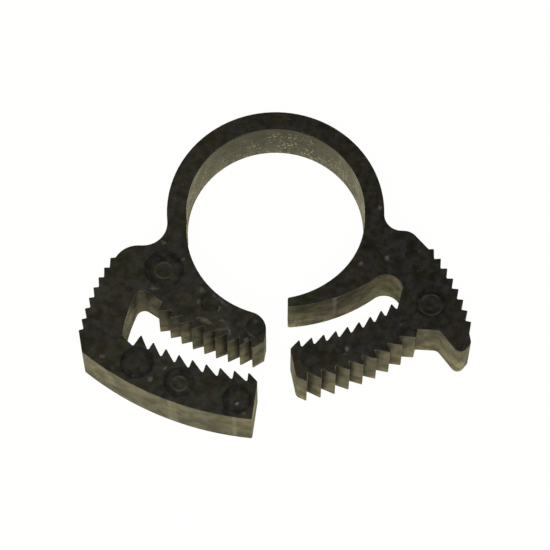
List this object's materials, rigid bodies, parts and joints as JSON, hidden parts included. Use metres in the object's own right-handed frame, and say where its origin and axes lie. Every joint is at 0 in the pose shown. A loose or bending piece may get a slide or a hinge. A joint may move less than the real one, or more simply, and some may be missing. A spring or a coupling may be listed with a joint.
{
  "type": "ratchet tubing clamp",
  "caption": "One-piece moulded ratchet clamp for tubing: an open ring with a toothed mouth on one side and a double-sided toothed tongue on the other, lying flat.",
  "frame": {"origin": "on the axis of the ring's bore, at the lower flat face", "axes": "+Z along the bore axis, through the clamp's thickness; +Y away from the jaws, over the top of the ring; +X towards the tongue's side"},
  "size_m": [0.0397, 0.0336, 0.006],
  "materials": {
    "nylon": "as moulded, satin"
  },
  "bodies": {
    "root": {"clamp_body": "nylon"}
  },
  "joints": []
}
